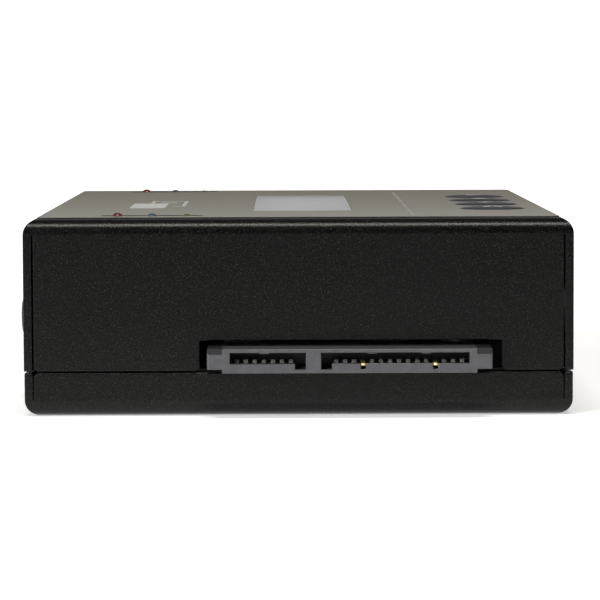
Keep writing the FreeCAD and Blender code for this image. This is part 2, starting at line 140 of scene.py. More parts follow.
def finish_material(name, dark, pale, rough, grain, grain_depth, mottle=60.0, **sockets):
    """Material with mottled colour, uneven gloss and a fine grain; both scales are features per metre."""
    made, tree, shader = blank_material(name)
    soft = noise(tree, mottle, 3.0)
    tree.links.new(ramp(tree, soft.outputs["Fac"], ((0.3, dark), (0.7, pale))), shader.inputs["Base Color"])
    fine = noise(tree, grain, 3.0)
    tree.links.new(span(tree, fine.outputs["Fac"], *rough), shader.inputs["Roughness"])
    tree.links.new(bump(tree, fine.outputs["Fac"], grain_depth), shader.inputs["Normal"])
    for socket, value in sockets.items():
        shader.inputs[socket.replace("_", " ")].default_value = value
    return made


def powder_coat():
    """Black textured powder coat: a fine orange peel with small pale flecks, partly real flecks and partly
    painted glints of the grain.
    """
    made, tree, shader = blank_material("powder_coat_black")
    coarse = noise(tree, 4200.0, 1.5)
    fine = noise(tree, 8000.0, 2.0)
    soft = noise(tree, 40.0, 3.0)
    cells = tree.nodes.new("ShaderNodeTexVoronoi")
    cells.inputs["Scale"].default_value = 2600.0
    place = tree.nodes.new("ShaderNodeTexCoord")
    tree.links.new(place.outputs["Object"], cells.inputs["Vector"])
    # pale flecks in the colour: partly real flecks, partly painted glints of lamp light off the grain
    flecks_and_glints = ramp(tree, cells.outputs["Distance"], ((0.0, (0.055, 0.055, 0.054)), (0.26, (0.0, 0.0, 0.0))))
    tone = ramp(tree, coarse.outputs["Fac"], ((0.38, (0.0, 0.0, 0.0)), (0.68, (0.0066, 0.0066, 0.0064))))
    both = tree.nodes.new("ShaderNodeMix")
    both.data_type = "RGBA"
    both.blend_type = "ADD"
    tree.links.new(span(tree, noise(tree, 260.0, 2.0).outputs["Fac"], 0.35, 1.0), both.inputs["Factor"])
    tree.links.new(tone, both.inputs["A"])
    tree.links.new(flecks_and_glints, both.inputs["B"])
    tree.links.new(both.outputs["Result"], shader.inputs["Base Color"])
    tree.links.new(span(tree, soft.outputs["Fac"], 0.25, 0.29), shader.inputs["Roughness"])
    first = bump(tree, coarse.outputs["Fac"], 0.00003, 0.8)
    tree.links.new(bump(tree, fine.outputs["Fac"], 0.00001, 0.6, first), shader.inputs["Normal"])
    shader.inputs["Specular IOR Level"].default_value = 0.18
    return made


FILM_REACH = 52.0 * MM


def satin_film():
    """Satin printed film, a little glossier towards the source end, with a warm bloom at a low angle."""
    made, tree, shader = blank_material("panel_film_satin")
    soft = noise(tree, 60.0, 3.0)
    tone = ramp(tree, soft.outputs["Fac"], ((0.3, (0.016, 0.015, 0.012)), (0.7, (0.021, 0.0195, 0.016))))
    tree.links.new(tone, shader.inputs["Base Color"])
    fine = noise(tree, 6000.0, 3.0)
    grain = span(tree, fine.outputs["Fac"], -0.03, 0.03)
    along = span(tree, coordinate(tree, "Y"), 0.345, 0.475, -FILM_REACH, FILM_REACH)
    tree.links.new(calculated(tree, "ADD", grain, along), shader.inputs["Roughness"])
    tree.links.new(bump(tree, fine.outputs["Fac"], 0.000003), shader.inputs["Normal"])
    shader.inputs["Specular IOR Level"].default_value = 0.31
    shader.inputs["Sheen Weight"].default_value = 0.2
    shader.inputs["Sheen Roughness"].default_value = 0.22
    shader.inputs["Sheen Tint"].default_value = (1.0, 0.84, 0.52, 1.0)
    return made


def port_plastic(name, brightness=0.85, painted_slot_shade=False, level=0.45):
    """Moulded grey plastic of a drive receptacle; when asked, its slot walls grow dark within a millimetre
    behind the face, a painted shade.
    """
    made, tree, shader = blank_material(name)
    soft = noise(tree, 700.0, 3.0)
    dark = Vector((0.084, 0.085, 0.095)) * brightness
    pale = Vector((0.115, 0.116, 0.128)) * brightness
    tone = ramp(tree, soft.outputs["Fac"], ((0.3, tuple(dark)), (0.7, tuple(pale))))
    # painted shade: the slot walls darken over the first millimetre behind the face, standing in for the
    # shade of the housing
    if painted_slot_shade:
        reach = calculated(tree, "ABSOLUTE", coordinate(tree, "Y"))
        mixed = tree.nodes.new("ShaderNodeMix")
        mixed.data_type = "RGBA"
        tree.links.new(span(tree, reach, 1.0, 0.0, PORT_FACE - 0.9 * MM, PORT_FACE - 0.1 * MM),
                       mixed.inputs["Factor"])
        tree.links.new(tone, mixed.inputs["A"])
        mixed.inputs["B"].default_value = (0.012, 0.012, 0.0135, 1.0)
        tone = mixed.outputs["Result"]
    tree.links.new(tone, shader.inputs["Base Color"])
    fine = noise(tree, 3500.0, 3.0)
    tree.links.new(span(tree, fine.outputs["Fac"], 0.34, 0.46), shader.inputs["Roughness"])
    tree.links.new(bump(tree, fine.outputs["Fac"], 0.000014), shader.inputs["Normal"])
    shader.inputs["Specular IOR Level"].default_value = level
    return made


CELL_WIDTH = 3.3 * MM
CELL_HEIGHT = 5.6 * MM
CELL_GAP = 0.28 * MM


def display_cell():
    """Unlit display: dark grey-green with two faint rows of character cells."""
    made, tree, shader = blank_material("display_cell_dark")
    low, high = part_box("display_window")
    middle = (low + high) / 2
    place = tree.nodes.new("ShaderNodeTexCoord")
    mapping = tree.nodes.new("ShaderNodeMapping")
    mapping.inputs["Rotation"].default_value = (0, 0, math.pi / 2)
    mapping.inputs["Location"].default_value = (middle.y + CELL_WIDTH * 8, -middle.x + CELL_HEIGHT, 0)
    tree.links.new(place.outputs["Object"], mapping.inputs["Vector"])
    cells = tree.nodes.new("ShaderNodeTexBrick")
    cells.offset = 0.0
    for socket, value in (("Scale", 1.0), ("Mortar Size", CELL_GAP), ("Mortar Smooth", 0.3),
                          ("Brick Width", CELL_WIDTH), ("Row Height", CELL_HEIGHT)):
        cells.inputs[socket].default_value = value
    cells.inputs["Color1"].default_value = (0.034, 0.047, 0.038, 1)
    cells.inputs["Color2"].default_value = (0.037, 0.051, 0.041, 1)
    cells.inputs["Mortar"].default_value = (0.052, 0.069, 0.057, 1)
    tree.links.new(mapping.outputs["Vector"], cells.inputs["Vector"])
    tree.links.new(cells.outputs["Color"], shader.inputs["Base Color"])
    fine = noise(tree, 2000.0)
    tree.links.new(span(tree, fine.outputs["Fac"], 0.12, 0.2), shader.inputs["Roughness"])
    return made


def metal(name, dark, pale, rough):
    """Plated or bare metal with a fine uneven gloss."""
    return finish_material(name, dark, pale, rough, 2500.0, 0.00001, mottle=300.0, Metallic=1.0)


def lamp_lens(colour, dark, pale):
    """Tinted clear lens of an unlit lamp."""
    return finish_material("lamp_lens_" + colour, dark, pale, (0.16, 0.26), 900.0, 0.000004,
                           Transmission_Weight=0.25, IOR=1.5)


def ink(name, dark, pale):
    """Printed ink."""
    return finish_material(name, dark, pale, (0.4, 0.5), 5000.0, 0.000003, mottle=900.0)


MATERIALS = {
    "powder_coat": powder_coat(),
    "film_print": satin_film(),
    "display_cell": display_cell(),
    "port_plastic": port_plastic("plastic_port_grey"),
    # painted shade: a copy whose slot walls grow dark behind the face
    "slot_painted_shade": port_plastic("plastic_slot_painted_shade", painted_slot_shade=True),
    # painted shade: a darker copy for the housing's up-facing faces
    "top_painted_shade": port_plastic("plastic_top_painted_shade", brightness=0.62),
    # painted shade: a much darker, less glossy copy for the chamfers on the ears
    "chamfer_painted_shade": port_plastic("plastic_chamfer_painted_shade", brightness=0.2, level=0.08),
    "clear_window": finish_material("window_clear", (0.86, 0.88, 0.87), (0.92, 0.93, 0.92), (0.325, 0.345),
                                    900.0, 0.0000005, Transmission_Weight=1.0, IOR=1.49,
                                    Specular_IOR_Level=0.43),
    "light_guide": finish_material("light_guide_white", (0.66, 0.68, 0.68), (0.76, 0.78, 0.78), (0.5, 0.6),
                                   2000.0, 0.00001),
    "board_mask": finish_material("solder_mask_black", (0.006, 0.008, 0.008), (0.012, 0.016, 0.015),
                                  (0.3, 0.42), 1500.0, 0.00002, mottle=700.0),
    "key_rubber": finish_material("key_rubber_navy", (0.011, 0.012, 0.019), (0.018, 0.019, 0.029),
                                  (0.5, 0.62), 5000.0, 0.00001, mottle=500.0),
    "lamp_red": lamp_lens("red", (0.10, 0.014, 0.012), (0.15, 0.022, 0.018)),
    "lamp_blue": lamp_lens("blue", (0.045, 0.065, 0.075), (0.07, 0.095, 0.11)),
    "lamp_green": lamp_lens("green", (0.085, 0.10, 0.02), (0.125, 0.14, 0.03)),
    "display_metal": finish_material("display_bezel_black", (0.018, 0.018, 0.018), (0.028, 0.028, 0.028),
                                     (0.4, 0.5), 3000.0, 0.00001),
    "black_plastic": finish_material("plastic_black", (0.012, 0.012, 0.0125), (0.022, 0.022, 0.0225),
                                     (0.38, 0.5), 4000.0, 0.00001),
    "white_plastic": finish_material("plastic_white", (0.60, 0.60, 0.57), (0.70, 0.70, 0.67), (0.4, 0.5),
                                     2500.0, 0.00001),
    "button_plastic": finish_material("button_black", (0.013, 0.013, 0.0135), (0.024, 0.024, 0.0245),
                                      (0.32, 0.42), 4000.0, 0.000008),
    "chip_epoxy": finish_material("chip_black", (0.014, 0.014, 0.014), (0.026, 0.026, 0.026), (0.5, 0.62),
                                  6000.0, 0.00001),
    "ferrite": finish_material("ferrite_grey", (0.05, 0.05, 0.052), (0.09, 0.09, 0.095), (0.55, 0.7), 4000.0,
                               0.00002),
    "zinc_steel": metal("screw_blackened", (0.03, 0.03, 0.032), (0.08, 0.08, 0.085), (0.28, 0.42)),
    "plated_spacer": metal("spacer_nickel", (0.55, 0.54, 0.50), (0.70, 0.69, 0.65), (0.2, 0.35)),
    "tinned_wire": metal("wire_tinned", (0.58, 0.58, 0.58), (0.72, 0.72, 0.72), (0.22, 0.36)),
    "crystal_can": metal("crystal_can_steel", (0.50, 0.50, 0.49), (0.66, 0.66, 0.65), (0.25, 0.38)),
    "can_aluminium": metal("can_aluminium", (0.62, 0.62, 0.62), (0.78, 0.78, 0.78), (0.22, 0.35)),
    "contact_gold": finish_material("contact_gold_plate", (0.78, 0.58, 0.28), (0.92, 0.73, 0.42),
                                    (0.32, 0.46), 3000.0, 0.00001, mottle=400.0, Metallic=1.0),
    # painted shade: a grey, duller copy of the gold, for contacts set back in the shaded slots
    "contact_painted_shade": finish_material("contact_painted_shade_plate", (0.24, 0.24, 0.235), (0.36, 0.36, 0.35), (0.36, 0.5),
                                   3000.0, 0.00001, mottle=400.0, Metallic=0.35),
    "film_ink": ink("print_pale_grey", (0.42, 0.43, 0.42), (0.52, 0.53, 0.52)),
    "film_faint_ink": ink("print_mid_grey", (0.25, 0.245, 0.235), (0.33, 0.32, 0.31)),
    "key_ink": ink("print_key_grey", (0.50, 0.51, 0.52), (0.62, 0.63, 0.64)),
}


def dress(obj, material):
    """Gives an object one material."""
    obj.data.materials.clear()
    obj.data.materials.append(material)


for name, obj in NODES.items():
    dress(obj, MATERIALS[SLOT_OF[name]])


# ---------------------------------------------------------------- building pieces

# degrees between two faces from which their edge stays sharp
SHARP = 34.0
LINE_HEIGHT = 0.012 * MM
LINE_STEP = 0.35 * MM


def smooth(mesh, angle=SHARP):
    """Smooth shading that keeps edges sharper than the angle."""
    for face in mesh.polygons:
        face.use_smooth = True
    mesh.set_sharp_from_angle(angle=math.radians(angle))


def place_piece(name, shape, node_name, replaced=(), material=None, angle=SHARP):
    """Makes an object of a bmesh, on the body and in the slot of a CAD node, in its material or another."""
    mesh = bpy.data.meshes.new(name)
    bmesh.ops.recalc_face_normals(shape, faces=shape.faces)
    shape.to_mesh(mesh)
    shape.free()
    smooth(mesh, angle)
    obj = bpy.data.objects.new(name, mesh)
    bpy.context.scene.collection.objects.link(obj)
    slot_name = SLOT_OF[node_name]
    dress(obj, material or MATERIALS[slot_name])
    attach(obj, BODY_OF[node_name])
    if replaced:
        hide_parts(*replaced)
    return obj


def lathe(shape, profile, centre, along="Z", steps=64):
    """Adds a closed solid of revolution of (radius, distance) points about a line along Z or X."""
    rings = []
    for radius, distance in profile:
        ring = []
        count = steps if radius > 1e-9 else 1
        for i in range(count):
            turn = 2 * math.pi * i / steps
            a, b = radius * math.cos(turn), radius * math.sin(turn)
            offset = Vector((a, b, distance)) if along == "Z" else Vector((distance, a, b))
            ring.append(shape.verts.new(Vector(centre) + offset))
        rings.append(ring)
    for one, two in zip(rings, rings[1:]):
        for i in range(steps):
            j = (i + 1) % steps
            corners = [one[i % len(one)], one[j % len(one)], two[j % len(two)], two[i % len(two)]]
            kept = list(dict.fromkeys(corners))
            if len(kept) > 2:
                shape.faces.new(kept)
    for ring in (rings[0], rings[-1]):
        if len(ring) > 1:
            shape.faces.new(ring)


def arc(centre_r, centre_z, radius, start, end, steps):
    """(radius, height) points of an arc; angles in degrees from the outward direction."""
    return [(centre_r + radius * math.cos(math.radians(start + (end - start) * i / steps)),
             centre_z + radius * math.sin(math.radians(start + (end - start) * i / steps)))
            for i in range(steps + 1)]


def block(shape, low, high, bevel=0.0):
    """Adds a box between two corners, its edges rounded by bevel."""
    made = bmesh.ops.create_cube(shape, size=1.0)["verts"]
    middle = (Vector(low) + Vector(high)) / 2
    size = Vector(high) - Vector(low)
    for vert in made:
        vert.co = Vector(a * b for a, b in zip(vert.co, size)) + middle
    if bevel:
        edges = list({e for v in made for e in v.link_edges})
        bmesh.ops.bevel(shape, geom=edges, offset=bevel, segments=2, profile=0.5, affect="EDGES")


def stroke(shape, points, width, surface, closed=False):
    """Adds a thin raised line through (x, y) points that follows surface(x, y)."""
    points = [Vector(p) for p in points]
    if closed:
        points.append(points[0])
    path = []
    for a, b in zip(points, points[1:]):
        count = max(1, int((b - a).length / LINE_STEP))
        path += [a.lerp(b, i / count) for i in range(count)]
    path.append(points[-1])
    left, right = [], []
    for i, point in enumerate(path):
        if closed and i in (0, len(path) - 1):
            before, after = path[-2], path[1]
        else:
            before, after = path[max(i - 1, 0)], path[min(i + 1, len(path) - 1)]
        way = (after - before).normalized()
        ahead = (path[1] - path[0] if i == 0 else point - before).normalized()
        cosine = max(0.5, abs(way.dot(ahead)))
        side = Vector((-way.y, way.x)) * width / 2 / cosine
        left.append(point + side)
        right.append(point - side)
    if closed:
        left.pop()
        right.pop()

    def raised(flat, lift):
        """New vertex at a flat point, lifted off the surface."""
        return shape.verts.new((flat.x, flat.y, surface(flat.x, flat.y) + lift))

    up, down = LINE_HEIGHT, -LINE_HEIGHT
    columns = [[raised(l, up), raised(r, up), raised(r, down), raised(l, down)] for l, r in zip(left, right)]
    pairs = list(zip(columns, columns[1:]))
    if closed:
        pairs.append((columns[-1], columns[0]))
    for one, two in pairs:
        for i in range(4):
            j = (i + 1) % 4
            shape.faces.new((one[i], one[j], two[j], two[i]))
    if not closed:
        shape.faces.new(columns[0])
        shape.faces.new(columns[-1])


def patch(shape, points, surface):
    """Adds a thin raised convex patch through (x, y) points that follows surface(x, y)."""
    points = [Vector(p) for p in points]
    middle = sum(points, Vector((0.0, 0.0))) / len(points)
    rims = []
    for part in (1.0, 0.66, 0.33):
        rims.append([shape.verts.new((p.x, p.y, surface(p.x, p.y) + LINE_HEIGHT))
                     for p in (middle.lerp(q, part) for q in points)])
    top = shape.verts.new((middle.x, middle.y, surface(middle.x, middle.y) + LINE_HEIGHT))
    under = [shape.verts.new((p.x, p.y, surface(p.x, p.y) - LINE_HEIGHT)) for p in points]
    count = len(points)
    for one, two in zip(rims, rims[1:]):
        for i in range(count):
            shape.faces.new((one[i], one[(i + 1) % count], two[(i + 1) % count], two[i]))
    for i in range(count):
        shape.faces.new((rims[-1][i], rims[-1][(i + 1) % count], top))
        shape.faces.new((under[i], under[(i + 1) % count], rims[0][(i + 1) % count], rims[0][i]))
    shape.faces.new(under)


def divided(points, parts=6):
    """Points of a closed outline with each side divided into parts."""
    path = []
    for a, b in zip(points, points[1:] + points[:1]):
        path += [tuple(Vector(a).lerp(Vector(b), i / parts)) for i in range(parts)]
    return path


def circle(x, y, radius, steps):
    """(x, y) points round a centre."""
    return [(x + radius * math.cos(2 * math.pi * i / steps), y + radius * math.sin(2 * math.pi * i / steps))
            for i in range(steps)]


# ---------------------------------------------------------------- enclosure

FLAT_UNDER = math.radians(0.6)
ROUNDED_FROM = math.radians(40.0)
SHEET_EDGE = 0.14 * MM
COVER_LIP = 0.24 * MM
TRAY_LIP = 0.2 * MM
FILM_EDGE = 0.03 * MM
INLET_EDGE = 0.15 * MM


def weighted_normals(obj):
    """Keeps large faces flat beside their rounded edges."""
    obj.modifiers.new("face_weighted_normals", "WEIGHTED_NORMAL").keep_sharp = True


def softened(node_name, width, name, rim=None):
    """CAD node with its sharp edges rounded; a rim is (test of a point, width, segments) of its own."""
    shape = bmesh.new()
    shape.from_mesh(NODES[node_name].data)
    bmesh.ops.remove_doubles(shape, verts=shape.verts, dist=WELD)
    bmesh.ops.dissolve_limit(shape, angle_limit=FLAT_UNDER, verts=shape.verts, edges=shape.edges)
    edges = [e for e in shape.edges if len(e.link_faces) == 2 and e.calc_face_angle(0) > ROUNDED_FROM]
    if rim:
        on_rim = [e for e in edges if all(rim[0](v.co) for v in e.verts)]
        edges = [e for e in edges if e not in on_rim]
        bmesh.ops.bevel(shape, geom=on_rim, offset=rim[1], segments=rim[2], profile=0.5, affect="EDGES",
                        clamp_overlap=False)
        edges = [e for e in edges if e.is_valid]
    bmesh.ops.bevel(shape, geom=edges, offset=width, segments=2, profile=0.5, affect="EDGES",
                    clamp_overlap=False)
    obj = place_piece(name, shape, node_name, (node_name,))
    weighted_normals(obj)
    return obj


def at_level(level):
    """Test of a point: true at the height."""
    return lambda point: abs(point.z - level) < NEAR


def enclosure():
    """Folded cover and tray, each with a rounder rim, and film with dark cut edges."""
    softened("top_cover", SHEET_EDGE, "cover_shell", rim=(at_level(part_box("top_cover")[0].z), COVER_LIP, 3))
    softened("base_tray", SHEET_EDGE, "tray_shell", rim=(at_level(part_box("base_tray")[1].z), TRAY_LIP, 3))
    sheet = softened("panel_film", FILM_EDGE, "film_sheet")
    sheet.data.materials.append(MATERIALS["black_plastic"])
    for face in sheet.data.polygons:
        if abs(face.normal.z) < 0.5:
            face.material_index = 1


# ---------------------------------------------------------------- drive receptacles

# side and ear are measured from the housing's sides, mouth from its underside, slot and foot from its top
PORT_SIDE = 2.4 * MM
PORT_EAR = 2.12 * MM
PORT_EDGE = 0.045 * MM
PORT_LEAD_IN = 0.11 * MM
PORT_MOUTH = (0.4 * MM, 2.95 * MM)
# slot walls between these heights are painted in shade
PORT_SLOT = (-2.4 * MM, -0.25 * MM)
# up-facing faces above this height are painted in shade
PORT_CHAMFER_FOOT = -1.7 * MM
CONTACT_EDGE = 0.04 * MM
CONTACT_REACH = 0.6 * MM
CONTACT_STEP = 0.5 * MM


def receptacle(end):
    """Housing with chamfered slot mouths, its slot walls, top faces and ear chamfers in painted shade, and
    contacts: those set forward are gold, the rest a grey painted shade of the gold.
    """
    low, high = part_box(end + "_receptacle")

    def in_mouth(point):
        """True on the housing's outer face, round its two slots."""
        return (low.x + PORT_SIDE < point.x < high.x - PORT_SIDE and abs(point.y) > PORT_FACE - NEAR
                and PORT_MOUTH[0] < point.z - low.z < PORT_MOUTH[1])

    housing = softened(end + "_receptacle", PORT_EDGE, end + "_port_housing", rim=(in_mouth, PORT_LEAD_IN, 1))
    # darker copies of the plastic, painted shade for the slot walls, the top faces and the ear chamfers
    for material in ("slot_painted_shade", "top_painted_shade", "chamfer_painted_shade"):
        housing.data.materials.append(MATERIALS[material])
    for face in housing.data.polygons:
        height = face.center.z - high.z
        side = min(face.center.x - low.x, high.x - face.center.x)
        behind_face = abs(face.center.y) < PORT_FACE - PORT_LEAD_IN
        # painted shade: slot walls behind the face take the darkening copy
        if behind_face and PORT_SLOT[0] < height < PORT_SLOT[1] and side > PORT_SIDE:
            face.material_index = 1
        # painted shade: faces turned up above the chamfer foot take the darker top copy
        elif face.normal.z > 0.3 and height > PORT_CHAMFER_FOOT:
            # painted shade: at the ears those faces take the darkest copy
            face.material_index = 3 if side < PORT_EAR else 2
    contacts = softened(end + "_contacts", CONTACT_EDGE, end + "_port_contacts")
    # painted shade: contacts set back from the forward ones take the grey copy
    contacts.data.materials.append(MATERIALS["contact_painted_shade"])
    early = [v.co.x for v in contacts.data.vertices if abs(v.co.y) > PORT_FACE - CONTACT_STEP]
    for face in contacts.data.polygons:
        if all(abs(face.center.x - x) > CONTACT_REACH for x in early):
            face.material_index = 1


# ---------------------------------------------------------------- display window

WINDOW_LIP = 0.12 * MM
WINDOW_BELOW = 0.05 * MM
WINDOW_EDGE = 0.08 * MM
WINDOW_CORNER = 0.6


def window_pane():
    """Clear pane whose top closes the gap to the film."""
    low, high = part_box("display_window")
    middle = (low + high) / 2
    shape = bmesh.new()
    shape.from_mesh(NODES["display_window"].data)
    for vert in shape.verts:
        if vert.co.z > FILM_LOW.z - WINDOW_BELOW:
            vert.co.x += math.copysign(WINDOW_LIP, vert.co.x - middle.x)
            vert.co.y += math.copysign(WINDOW_LIP, vert.co.y - middle.y)
    bmesh.ops.remove_doubles(shape, verts=shape.verts, dist=WELD)
    on_top = [e for e in shape.edges if all(v.co.z > high.z - NEAR for v in e.verts)]
    edges = [e for e in on_top if e.calc_face_angle(0) > WINDOW_CORNER]
    bmesh.ops.bevel(shape, geom=edges, offset=WINDOW_EDGE, segments=2, profile=0.5, affect="EDGES")
    weighted_normals(place_piece("window_pane", shape, "display_window", ("display_window",)))


# ---------------------------------------------------------------- keys

KEYS = ("cancel", "down", "up", "enter")
KEY_RADIUS = 4.7 * MM
KEY_EDGE = 0.32 * MM
KEY_CROWN = 0.26 * MM
KEY_DEPTH = 1.7 * MM
KEY_PLATE = 0.8 * MM
KEY_STEM = 2.5 * MM
KEY_BLOCK_EDGE = 0.15 * MM
KEY_SIGN = 2.8 * MM
KEY_LINE = 0.5 * MM


def key_dome(high, radius):
    """Height of a key's domed top over its centre line distance."""
    ball = (radius ** 2 + KEY_CROWN ** 2) / (2 * KEY_CROWN)
    return lambda distance: high.z - ball + math.sqrt(max(ball ** 2 - distance ** 2, 0.0))


def key_glyph(key, x, y, size):
    """Strokes of the generic sign of a key, as lists of points."""
    h = size / 2
    if key == "cancel":
        return [([(x - h, y - h), (x + h, y + h)], False), ([(x - h, y + h), (x + h, y - h)], False)]
    if key == "enter":
        return [([(x - h, y), (x - h * 0.25, y - h * 0.8), (x + h, y + h * 0.8)], False)]
    tip = h if key == "up" else -h
    return [([(x - h, y - tip * 0.6), (x, y + tip * 0.8), (x + h, y - tip * 0.6)], True)]


def key_piece(key):
    """Domed cap with its plate and stem, and the sign on it."""
    cap = key + "_key_cap"
    low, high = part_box(cap)
    middle = (low + high) / 2
    dome = key_dome(high, KEY_RADIUS)
    inner = KEY_RADIUS - KEY_EDGE
    plate_top = high.z - KEY_DEPTH
    profile = [(0.0, dome(0.0))]
    profile += [(KEY_RADIUS * i / 10, dome(KEY_RADIUS * i / 10)) for i in range(1, 9)]
    profile += arc(inner, dome(inner) - KEY_EDGE, KEY_EDGE, 84, 0, 6)
    profile += [(KEY_RADIUS, plate_top), (0.0, plate_top)]
    shape = bmesh.new()
    lathe(shape, profile, (middle.x, middle.y, 0.0))
    block(shape, (low.x, low.y, plate_top - KEY_PLATE), (high.x, high.y, plate_top), KEY_BLOCK_EDGE)
    block(shape, (middle.x - KEY_STEM, middle.y - KEY_STEM, low.z),
          (middle.x + KEY_STEM, middle.y + KEY_STEM, plate_top - KEY_PLATE), KEY_BLOCK_EDGE)
    place_piece(key + "_key_dome", shape, cap, (cap,))

    def on_dome(x, y):
        """Height of the key's top at a place."""
        return dome(math.hypot(x - middle.x, y - middle.y))

    shape = bmesh.new()
    for points, closed in key_glyph(key, middle.x, middle.y, KEY_SIGN):
        if closed:
            patch(shape, divided(points), on_dome)
        else:
            stroke(shape, points, KEY_LINE, on_dome)
    place_piece(key + "_key_sign", shape, cap, material=MATERIALS["key_ink"])


# ---------------------------------------------------------------- lamps

LAMP_SQUASH = 0.92
LAMP_FOOT = 0.8 * MM


def lamp_domes(colour):
    """The two domed lamps of one colour."""
    group = colour + "_lamps"
    low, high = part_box(group)
    radius = (high.x - low.x) / 2
    crown_foot = high.z - radius * LAMP_SQUASH
    ball = arc(0.0, crown_foot, radius, 90, 0, 10)
    profile = [(r, crown_foot + (z - crown_foot) * LAMP_SQUASH) for r, z in ball]
    profile += [(radius, low.z + LAMP_FOOT), (radius, low.z), (0.0, low.z)]
    shape = bmesh.new()
    for y in (low.y + radius, high.y - radius):
        lathe(shape, profile, ((low.x + high.x) / 2, y, 0.0), steps=40)
    place_piece(colour + "_lamp_domes", shape, group, (group,))


# ---------------------------------------------------------------- power button and inlet pin

# share of the radius and depth of each point of the dish
BUTTON_DISH = ((0.0, 0.12 * MM), (0.55, 0.09 * MM), (0.8, 0.03 * MM))
BUTTON_RIM = 0.45 * MM
BUTTON_BORE = 1.4 * MM
BUTTON_BORE_DEPTH = 1.0 * MM
PIN_TIP = 0.55 * MM


def rounded_end(radius, rim, x, angles):
    """(radius, x) points of an end at x rounded by rim."""
    return [(radius - rim + rim * math.sin(math.radians(a)), x + rim - rim * math.cos(math.radians(a)))
            for a in angles]


def turned_along_x(name, node_name, profile, steps=64):
    """Solid of revolution about a node's middle line along X, in place of the node."""
    low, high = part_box(node_name)
    middle = (low + high) / 2
    shape = bmesh.new()
    lathe(shape, profile, (0.0, middle.y, middle.z), along="X", steps=steps)
    place_piece(name, shape, node_name, (node_name,))


def power_button():
    """Button with a shallow dish, a rounded rim and the bore for its shaft."""
    low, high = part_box("power_button_cap")
    radius = (high.y - low.y) / 2
    profile = [(radius * share, low.x + depth) for share, depth in BUTTON_DISH]
    profile += [(radius - BUTTON_RIM, low.x)]
    profile += rounded_end(radius, BUTTON_RIM, low.x, (18, 36, 54, 72, 90))
    profile += [(radius, high.x), (BUTTON_BORE, high.x), (BUTTON_BORE, high.x - BUTTON_BORE_DEPTH),
                (0.0, high.x - BUTTON_BORE_DEPTH)]
    turned_along_x("power_button_turned", "power_button_cap", profile)


def inlet_pin():
    """Centre pin of the supply inlet with a round tip."""
    low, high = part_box("power_inlet_pin")
    radius = (high.y - low.y) / 2
    profile = [(0.0, low.x)] + rounded_end(radius, PIN_TIP, low.x, (0, 20, 40, 60, 78, 90))
    profile += [(radius, high.x), (0.0, high.x)]
    turned_along_x("inlet_pin_turned", "power_inlet_pin", profile, steps=40)


# ---------------------------------------------------------------- case screws

SCREW_HEAD = 2.6 * MM
SCREW_HEAD_HEIGHT = 1.1 * MM
SCREW_HEAD_EDGE = (0.1 * MM, 0.08 * MM)
SCREW_RADIUS = 1.5 * MM
SCREW_ROOT = 1.24 * MM
SCREW_PITCH = 0.5 * MM
SCREW_PLAIN = 0.3 * MM
SCREW_TIP = 1.2 * MM
SCREW_SHARP = 24.0
CROSS_DEPTH = 1.3 * MM
CROSS_START = 0.2 * MM


def cross_recess(screw, x, y, low, radius):
    """Cuts a tapered cross into a screw's head from below."""
    cutter = bmesh.new()
    wide, slim = radius * 0.62, radius * 0.17
    for turn in (0, 1):
        made = bmesh.ops.create_cube(cutter, size=1.0)["verts"]
        for vert in made:
            top = vert.co.z > 0
            along_it = vert.co.x * 2 * wide * (0.45 if top else 1.0)
            across = vert.co.y * 2 * slim * (0.8 if top else 1.0)
            height = low + CROSS_DEPTH if top else low - CROSS_START
            vert.co = (x + (across if turn else along_it), y + (along_it if turn else across), height)
    bmesh.ops.recalc_face_normals(cutter, faces=cutter.faces)
    mesh = bpy.data.meshes.new("cross_cutter")
    cutter.to_mesh(mesh)
    cutter.free()
    tool = bpy.data.objects.new("cross_cutter", mesh)
    bpy.context.scene.collection.objects.link(tool)
    modifier = screw.modifiers.new("cross", "BOOLEAN")
    modifier.operation = "DIFFERENCE"
    modifier.solver = "EXACT"
    modifier.use_self = True
    modifier.object = tool
    depsgraph = bpy.context.evaluated_depsgraph_get()
    cut = bpy.data.meshes.new_from_object(screw.evaluated_get(depsgraph))
    screw.modifiers.clear()
    screw.data = cut
    bpy.data.objects.remove(tool)


def screw_profile(low, high):
    """(radius, height) points of a countersunk screw with thread grooves."""
    neck = low + SCREW_HEAD_HEIGHT
    edge_width, edge_height = SCREW_HEAD_EDGE
    profile = [(0.0, low), (SCREW_HEAD - edge_width, low), (SCREW_HEAD, low + edge_height)]
    profile += [(SCREW_RADIUS, neck)]
    thread = neck + SCREW_PLAIN
    turns = int((high - neck - 2 * SCREW_PLAIN) / SCREW_PITCH)
    for i in range(turns):
        start = thread + i * SCREW_PITCH
        profile += [(SCREW_RADIUS, start), (SCREW_ROOT, start + SCREW_PITCH / 2)]
    return profile + [(SCREW_RADIUS, thread + turns * SCREW_PITCH), (SCREW_TIP, high), (0.0, high)]


def case_screws():
    """The four screws under the tray."""
    low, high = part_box("case_screws")
    profile = screw_profile(low.z, high.z)
    for row, y in enumerate((low.y + SCREW_HEAD, high.y - SCREW_HEAD)):
        for column, x in enumerate((low.x + SCREW_HEAD, high.x - SCREW_HEAD)):
            shape = bmesh.new()
            lathe(shape, profile, (x, y, 0.0), steps=32)
            screw = place_piece(f"case_screw_{row}{column}", shape, "case_screws", ("case_screws",),
                                angle=SCREW_SHARP)
            cross_recess(screw, x, y, low.z, SCREW_HEAD)
            smooth(screw.data, SCREW_SHARP)


# ---------------------------------------------------------------- print on the film

